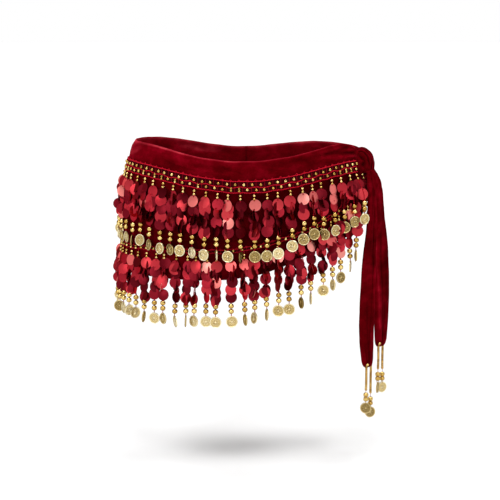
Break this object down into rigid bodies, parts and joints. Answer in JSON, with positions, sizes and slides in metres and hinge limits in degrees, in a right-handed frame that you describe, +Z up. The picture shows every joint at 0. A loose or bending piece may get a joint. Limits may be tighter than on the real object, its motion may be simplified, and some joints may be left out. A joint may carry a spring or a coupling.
{
  "type": "belly dance hip scarf",
  "caption": "Velvet belly dance hip scarf in its worn form: a band round the hips with tiers of sequin and coin fringe under beaded crochet trims, knotted at the side with tasselled tails.",
  "frame": {"origin": "middle of the ring where the hips hold the scarf, level with the upper part of the velvet band", "axes": "+Z up along the wearer's trunk, -Y the front that the wearer faces, +X the hip where the knot sits"},
  "size_m": [0.3953, 0.274, 0.3931],
  "materials": {
    "velvet": "deep crimson velvet with a soft nap",
    "crochet": "crimson crochet thread strung with small gold beads",
    "sequins": "large flat metallic-red sequins, gold beads and stamped gold coins",
    "gold": "pale gold plated beads and stamped coins"
  },
  "bodies": {
    "root": {"back_panel": "velvet", "back_tie_gather": "velvet", "front_tie_gather": "velvet", "knot_wrap": "velvet", "long_tail": "velvet", "long_tail_back_tassel_coin": "gold", "long_tail_back_tassel_lower_bead": "gold", "long_tail_back_tassel_string": "gold", "long_tail_back_tassel_upper_bead": "gold", "long_tail_front_tassel_coin": "gold", "long_tail_front_tassel_lower_bead": "gold", "long_tail_front_tassel_string": "gold", "long_tail_front_tassel_upper_bead": "gold", "lower_fringe_front": "sequins", "lower_fringe_left": "sequins", "lower_trim": "crochet", "main_panel": "velvet", "short_tail": "velvet", "short_tail_back_tassel_coin": "gold", "short_tail_back_tassel_lower_bead": "gold", "short_tail_back_tassel_string": "gold", "short_tail_back_tassel_upper_bead": "gold", "short_tail_front_tassel_coin": "gold", "short_tail_front_tassel_lower_bead": "gold", "short_tail_front_tassel_string": "gold", "short_tail_front_tassel_upper_bead": "gold", "upper_fringe_back": "sequins", "upper_fringe_front": "sequins", "upper_fringe_left": "sequins", "upper_trim_back": "crochet", "upper_trim_main": "crochet"}
  },
  "joints": []
}
